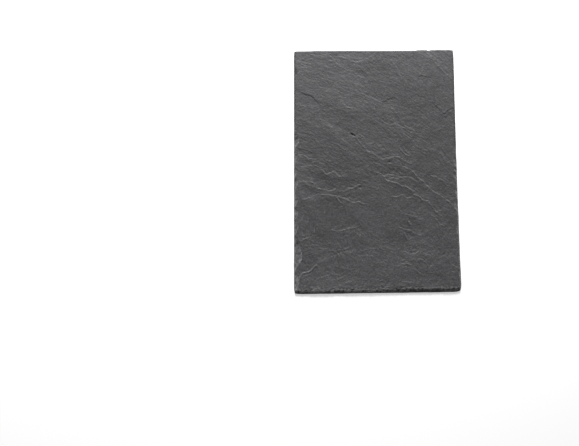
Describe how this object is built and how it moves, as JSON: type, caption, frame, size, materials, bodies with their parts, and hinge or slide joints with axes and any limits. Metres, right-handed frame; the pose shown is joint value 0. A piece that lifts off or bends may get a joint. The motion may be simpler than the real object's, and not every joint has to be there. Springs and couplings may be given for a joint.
{
  "type": "slate roof tile",
  "caption": "Rectangular natural roofing slate with a riven weather face and broken bevelled edges, laid in overlapping courses on battens.",
  "frame": {"origin": "middle of the slate's outline, on the plane of its back, which lies on the level floor", "axes": "+X across the slate, +Y from the tail to the head, +Z out of the riven weather face"},
  "size_m": [0.2034, 0.3014, 0.0059],
  "materials": {
    "riven_slate": "riven, matt, dark grey with a slight blue cast"
  },
  "bodies": {
    "root": {"roof_slate": "riven_slate"}
  },
  "joints": []
}
